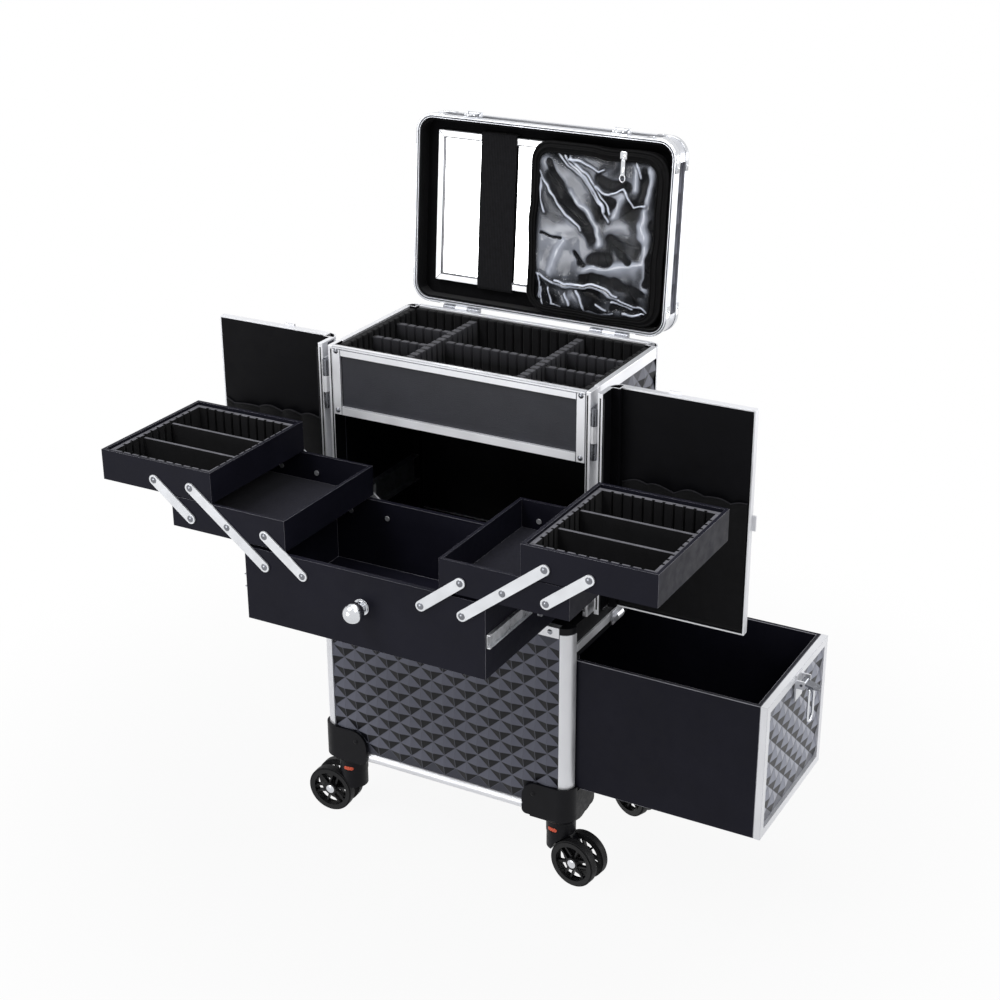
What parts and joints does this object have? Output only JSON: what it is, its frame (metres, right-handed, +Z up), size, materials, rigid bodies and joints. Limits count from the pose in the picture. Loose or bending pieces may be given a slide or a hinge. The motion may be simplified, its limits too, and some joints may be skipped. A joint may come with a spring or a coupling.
{
  "type": "rolling makeup case",
  "caption": "Wheeled makeup trolley case shown open: mirror lid, swing-back doors, cantilever trays on a pull-out front drawer and a side drawer, on swivelling casters.",
  "frame": {"origin": "on the floor, midway under the lower box", "axes": "+Z up, -Y is the front with the doors and the pull-out drawer, +X is the side with the side drawer"},
  "size_m": [0.7736, 0.4849, 0.8529],
  "materials": {
    "aluminium": "satin anodised",
    "board": "fine-grained black covering",
    "embossed_panel": "semi-gloss black, embossed diamonds",
    "foam": "ribbed velvet-covered foam",
    "tray_black": "fine-grained black covering",
    "guard_plastic": "moulded black plastic",
    "steel": "bright plated steel",
    "zinc": "zinc-plated slide members",
    "orange_plastic": "moulded orange-red",
    "mirror": "silvered glass",
    "elastic": "woven elastic",
    "vinyl": "clear vinyl with dark binding",
    "wheel_plastic": "moulded black wheels"
  },
  "bodies": {
    "case": {"corner_posts": "aluminium", "lower_rails": "aluminium", "boards": "board", "lower_panels": "embossed_panel", "upper_panels": "embossed_panel", "upper_frame": "aluminium", "fascia_frame": "aluminium", "compartment_lining": "foam", "dividers": "foam", "hinge_leaves": "steel", "slide_outer_members": "zinc", "corner_guards": "guard_plastic", "rivets": "steel", "side_catch_rail": "aluminium", "handle_sleeves": "aluminium", "release_buttons": "orange_plastic"},
    "lid": {"lid_panels": "embossed_panel", "lid_frame": "aluminium", "lid_lining": "board", "mirror_frame": "aluminium", "mirror_glass": "mirror", "mirror_strap": "elastic", "clear_bag": "vinyl"},
    "left hasp": {"left_hasp": "steel"},
    "right hasp": {"right_hasp": "steel"},
    "left door": {"left_door_panel": "embossed_panel", "left_door_frame": "aluminium"},
    "right door": {"right_door_panel": "embossed_panel", "right_door_frame": "aluminium"},
    "front drawer": {"front_drawer": "tray_black", "drawer_knob": "steel", "drawer_slide_inner": "zinc"},
    "slide middle members": {"drawer_slide_middle": "zinc"},
    "side drawer": {"side_drawer": "tray_black", "side_drawer_face": "embossed_panel", "side_drawer_frame": "aluminium", "side_runner_inner": "zinc"},
    "latch lever": {"latch_lever": "steel"},
    "latch bail": {"latch_bail": "steel"},
    "pull handle": {"pull_handle": "guard_plastic"},
    "left long arms": {"left_long_arms": "steel"},
    "left lower arms": {"left_lower_arms": "steel"},
    "left upper arms": {"left_upper_arms": "steel"},
    "left lower tray": {"left_lower_tray": "tray_black"},
    "left upper tray": {"left_upper_tray": "tray_black", "left_tray_lining": "foam"},
    "right long arms": {"right_long_arms": "steel"},
    "right lower arms": {"right_lower_arms": "steel"},
    "right upper arms": {"right_upper_arms": "steel"},
    "right lower tray": {"right_lower_tray": "tray_black"},
    "right upper tray": {"right_upper_tray": "tray_black", "right_tray_lining": "foam"},
    "front right caster": {"caster_fork_fr": "guard_plastic"},
    "front right wheels": {"caster_wheels_fr": "wheel_plastic"},
    "front left caster": {"caster_fork_fl": "guard_plastic"},
    "front left wheels": {"caster_wheels_fl": "wheel_plastic"},
    "rear right caster": {"caster_fork_rr": "guard_plastic"},
    "rear right wheels": {"caster_wheels_rr": "wheel_plastic"},
    "rear left caster": {"caster_fork_rl": "guard_plastic"},
    "rear left wheels": {"caster_wheels_rl": "wheel_plastic"}
  },
  "joints": [
    {"name": "lid_hinge", "type": "hinge", "parent": "case", "child": "lid", "pos_m": [0, 0.118, 0.616], "axis": [1, 0, 0], "range_deg": [0, 94.6]},
    {"name": "left_hasp_hinge", "type": "hinge", "parent": "lid", "child": "left hasp", "pos_m": [-0.097, 0.14849, 0.85031], "axis": [-1, 0, 0], "range_deg": [0, 80]},
    {"name": "right_hasp_hinge", "type": "hinge", "parent": "lid", "child": "right hasp", "pos_m": [0.097, 0.14849, 0.85031], "axis": [-1, 0, 0], "range_deg": [0, 80]},
    {"name": "left_door_hinge", "type": "hinge", "parent": "case", "child": "left door", "pos_m": [-0.174, -0.074, 0.48], "axis": [0, 0, 1], "range_deg": [0, 15]},
    {"name": "right_door_hinge", "type": "hinge", "parent": "case", "child": "right door", "pos_m": [0.174, -0.074, 0.48], "axis": [0, 0, -1], "range_deg": [0, 15]},
    {"name": "front_drawer_slide", "type": "slide", "parent": "case", "child": "front drawer", "axis": [0, -1, 0], "range_m": [-0.02, 0.01]},
    {"name": "slide_middle_travel", "type": "slide", "parent": "case", "child": "slide middle members", "axis": [0, -1, 0], "range_m": [-0.01, 0.005]},
    {"name": "left_tray_fold", "type": "hinge", "parent": "front drawer", "child": "left long arms", "pos_m": [-0.125, -0.189, 0.4275], "axis": [0, 1, 0], "range_deg": [0, 104]},
    {"name": "left_lower_tray_level", "type": "hinge", "parent": "left long arms", "child": "left lower tray", "pos_m": [-0.173, -0.189, 0.465], "axis": [0, 1, 0], "range_deg": [-104, 0]},
    {"name": "left_upper_tray_level", "type": "hinge", "parent": "left long arms", "child": "left upper tray", "pos_m": [-0.221, -0.189, 0.5025], "axis": [0, 1, 0], "range_deg": [-104, 0]},
    {"name": "left_lower_arm_fold", "type": "hinge", "parent": "front drawer", "child": "left lower arms", "pos_m": [-0.075, -0.189, 0.4275], "axis": [0, 1, 0], "range_deg": [0, 104]},
    {"name": "left_upper_arm_fold", "type": "hinge", "parent": "left lower tray", "child": "left upper arms", "pos_m": [-0.223, -0.189, 0.465], "axis": [0, 1, 0], "range_deg": [0, 104]},
    {"name": "right_tray_fold", "type": "hinge", "parent": "front drawer", "child": "right long arms", "pos_m": [0.125, -0.189, 0.4275], "axis": [0, -1, 0], "range_deg": [0, 104]},
    {"name": "right_lower_tray_level", "type": "hinge", "parent": "right long arms", "child": "right lower tray", "pos_m": [0.173, -0.189, 0.465], "axis": [0, -1, 0], "range_deg": [-104, 0]},
    {"name": "right_upper_tray_level", "type": "hinge", "parent": "right long arms", "child": "right upper tray", "pos_m": [0.221, -0.189, 0.5025], "axis": [0, -1, 0], "range_deg": [-104, 0]},
    {"name": "right_lower_arm_fold", "type": "hinge", "parent": "front drawer", "child": "right lower arms", "pos_m": [0.075, -0.189, 0.4275], "axis": [0, -1, 0], "range_deg": [0, 104]},
    {"name": "right_upper_arm_fold", "type": "hinge", "parent": "right lower tray", "child": "right upper arms", "pos_m": [0.223, -0.189, 0.465], "axis": [0, -1, 0], "range_deg": [0, 104]},
    {"name": "side_drawer_slide", "type": "slide", "parent": "case", "child": "side drawer", "axis": [1, 0, 0], "range_m": [-0.2298, 0]},
    {"name": "latch_lever_hinge", "type": "hinge", "parent": "side drawer", "child": "latch lever", "pos_m": [0.407, 0, 0.287], "axis": [0, -1, 0], "range_deg": [0, 70]},
    {"name": "latch_bail_hinge", "type": "hinge", "parent": "latch lever", "child": "latch bail", "pos_m": [0.416, 0, 0.2815], "axis": [0, -1, 0], "range_deg": [-10, 150]},
    {"name": "pull_handle_slide", "type": "slide", "parent": "case", "child": "pull handle", "axis": [0, 0, 1], "range_m": [0, 0.06]},
    {"name": "front_right_swivel", "type": "hinge", "parent": "case", "child": "front right caster", "pos_m": [0.147, -0.088, 0.06], "axis": [0, 0, 1], "continuous": true},
    {"name": "front_right_roll", "type": "hinge", "parent": "front right caster", "child": "front right wheels", "pos_m": [0.17374, -0.09176, 0.03], "axis": [0.1392, 0.9903, 0], "continuous": true},
    {"name": "front_left_swivel", "type": "hinge", "parent": "case", "child": "front left caster", "pos_m": [-0.147, -0.088, 0.06], "axis": [0, 0, 1], "continuous": true},
    {"name": "front_left_roll", "type": "hinge", "parent": "front left caster", "child": "front left wheels", "pos_m": [-0.17393, -0.08988, 0.03], "axis": [0.0698, -0.9976, 0], "continuous": true},
    {"name": "rear_right_swivel", "type": "hinge", "parent": "case", "child": "rear right caster", "pos_m": [0.147, 0.088, 0.06], "axis": [0, 0, 1], "continuous": true},
    {"name": "rear_right_roll", "type": "hinge", "parent": "rear right caster", "child": "rear right wheels", "pos_m": [0.17203, 0.07789, 0.03], "axis": [0.3746, 0.9272, 0], "continuous": true},
    {"name": "rear_left_swivel", "type": "hinge", "parent": "case", "child": "rear left caster", "pos_m": [-0.147, 0.088, 0.06], "axis": [0, 0, 1], "continuous": true},
    {"name": "rear_left_roll", "type": "hinge", "parent": "rear left caster", "child": "rear left wheels", "pos_m": [-0.17237, 0.09724, 0.03], "axis": [-0.342, -0.9397, 0], "continuous": true}
  ],
  "couplings": [
    {"joint": "slide_middle_travel", "follows": "front_drawer_slide", "ratio": 0.5},
    {"joint": "left_lower_tray_level", "follows": "left_tray_fold", "ratio": -1},
    {"joint": "left_upper_tray_level", "follows": "left_tray_fold", "ratio": -1},
    {"joint": "left_lower_arm_fold", "follows": "left_tray_fold", "ratio": 1},
    {"joint": "left_upper_arm_fold", "follows": "left_tray_fold", "ratio": 1},
    {"joint": "right_lower_tray_level", "follows": "right_tray_fold", "ratio": -1},
    {"joint": "right_upper_tray_level", "follows": "right_tray_fold", "ratio": -1},
    {"joint": "right_lower_arm_fold", "follows": "right_tray_fold", "ratio": 1},
    {"joint": "right_upper_arm_fold", "follows": "right_tray_fold", "ratio": 1}
  ]
}
